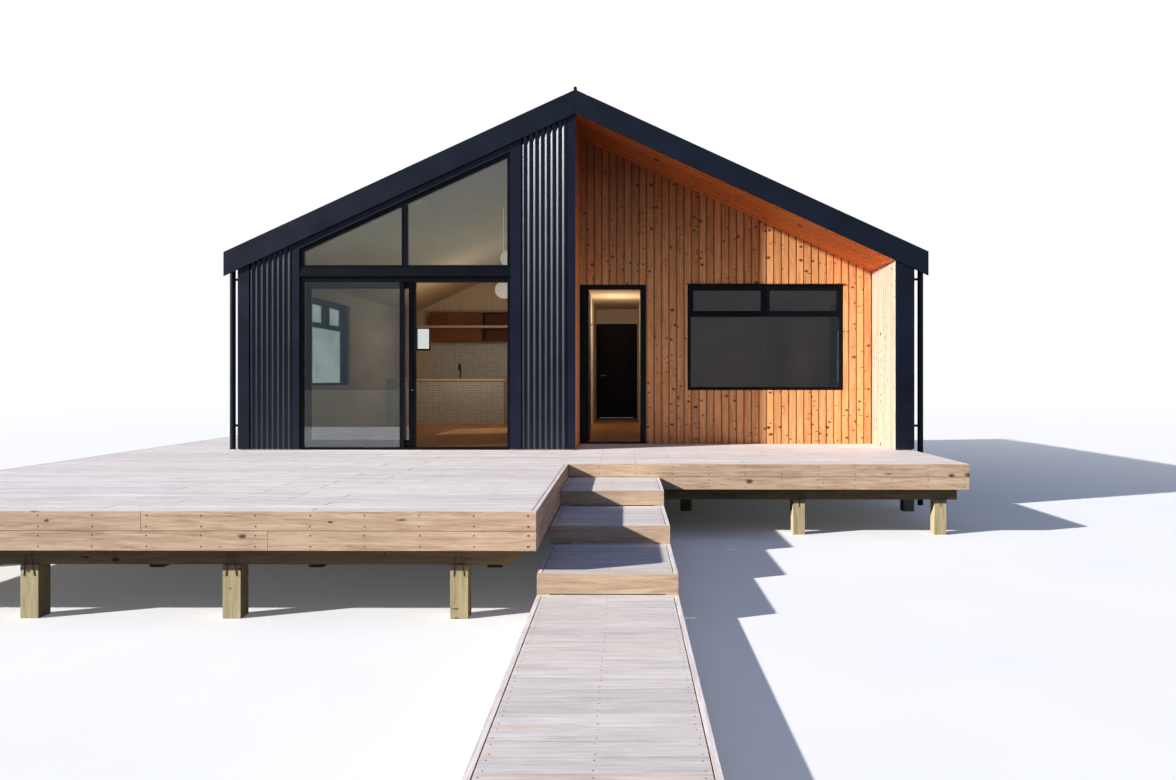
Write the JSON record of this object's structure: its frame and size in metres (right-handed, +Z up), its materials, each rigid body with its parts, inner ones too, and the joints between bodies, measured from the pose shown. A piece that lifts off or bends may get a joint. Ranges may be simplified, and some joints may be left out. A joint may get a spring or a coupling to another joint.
{
  "type": "beach_house",
  "caption": "Single-storey gabled beach house on timber piles, clad in dark corrugated steel, with a timber-lined porch recess, sliding glass door, stepped decks and a boardwalk.",
  "frame": {"origin": "Foot of the middle pile under the front wall, below the ridge, on the level ground.", "axes": "+X runs along the front wall to the right as seen from the front, +Y goes back through the house from front to back, +Z is up."},
  "size_m": [10.375, 17.4103, 5.5845],
  "materials": {
    "steel_cladding": "low gloss",
    "black_joinery": "satin powder coat",
    "lever_steel": "brushed",
    "window_glass": "clear",
    "stained_boards": "stained, knotty",
    "weathered_decking": "weathered, nailed",
    "fascia_timber": "oiled pine",
    "framing_timber": "sawn",
    "treated_post": "treated, rough sawn",
    "floor_boards": "satin",
    "wall_lining": "clear plywood",
    "ceiling_lining": "clear plywood",
    "bench_tiles": "small tiles",
    "cupboard_fronts": "dark stained",
    "shelf_timber": "clear",
    "globe_glass": "opal"
  },
  "bodies": {
    "house": {"piles": "treated_post", "floor_bearers": "framing_timber", "floor_joists": "framing_timber", "floor": "floor_boards", "front_wall": "wall_lining", "gable_head_wall": "wall_lining", "left_wall": "wall_lining", "right_wall": "wall_lining", "back_wall": "wall_lining", "back_gable_wall": "wall_lining", "porch_side_wall": "wall_lining", "porch_back_wall": "wall_lining", "porch_over_door_wall": "wall_lining", "hall_walls": "wall_lining", "ceilings": "ceiling_lining", "front_cladding": "steel_cladding", "side_cladding": "steel_cladding", "back_cladding": "steel_cladding", "corner_flashings": "steel_cladding", "porch_lining": "stained_boards", "porch_soffit": "stained_boards", "roof_left": "framing_timber", "roof_right": "framing_timber", "roof_sheets": "steel_cladding", "ridge_cap": "steel_cladding", "barge_boards": "steel_cladding", "gutters": "steel_cladding", "downpipes": "steel_cladding", "window_band": "steel_cladding", "gable_window_frame": "black_joinery", "slider_frame": "black_joinery", "entry_frame": "black_joinery", "back_door_frame": "black_joinery", "porch_window_frame": "black_joinery", "outer_window_frames": "black_joinery", "window_glass": "window_glass", "kitchen_bench": "bench_tiles", "kitchen_tap": "black_joinery", "kitchen_cupboards": "cupboard_fronts", "kitchen_shelf": "shelf_timber", "kitchen_splashback": "bench_tiles", "globe_lights": "globe_glass", "decking": "weathered_decking", "deck_fascia": "fascia_timber", "deck_joists": "framing_timber", "deck_bearers": "fascia_timber", "deck_posts": "treated_post", "front_steps": "fascia_timber", "step_legs": "treated_post", "boardwalk": "weathered_decking", "sleepers": "treated_post"},
    "sliding_leaf": {"sliding_door": "black_joinery", "sliding_door_glass": "window_glass", "sliding_door_pull": "black_joinery"},
    "entry_leaf": {"entry_door": "black_joinery", "entry_door_levers": "lever_steel"},
    "back_leaf": {"back_door": "black_joinery", "back_door_levers": "lever_steel"}
  },
  "joints": [
    {"name": "sliding_leaf_travel", "type": "slide", "parent": "house", "child": "sliding_leaf", "axis": [1, 0, 0], "range_m": [0, 1.22]},
    {"name": "entry_leaf_hinge", "type": "hinge", "parent": "house", "child": "entry_leaf", "pos_m": [0.0705, 1.165, 0.8], "axis": [0, 0, 1], "range_deg": [-90, 0]},
    {"name": "back_leaf_hinge", "type": "hinge", "parent": "house", "child": "back_leaf", "pos_m": [0.8695, 8.505, 0.8], "axis": [0, 0, 1], "range_deg": [0, 90]}
  ]
}
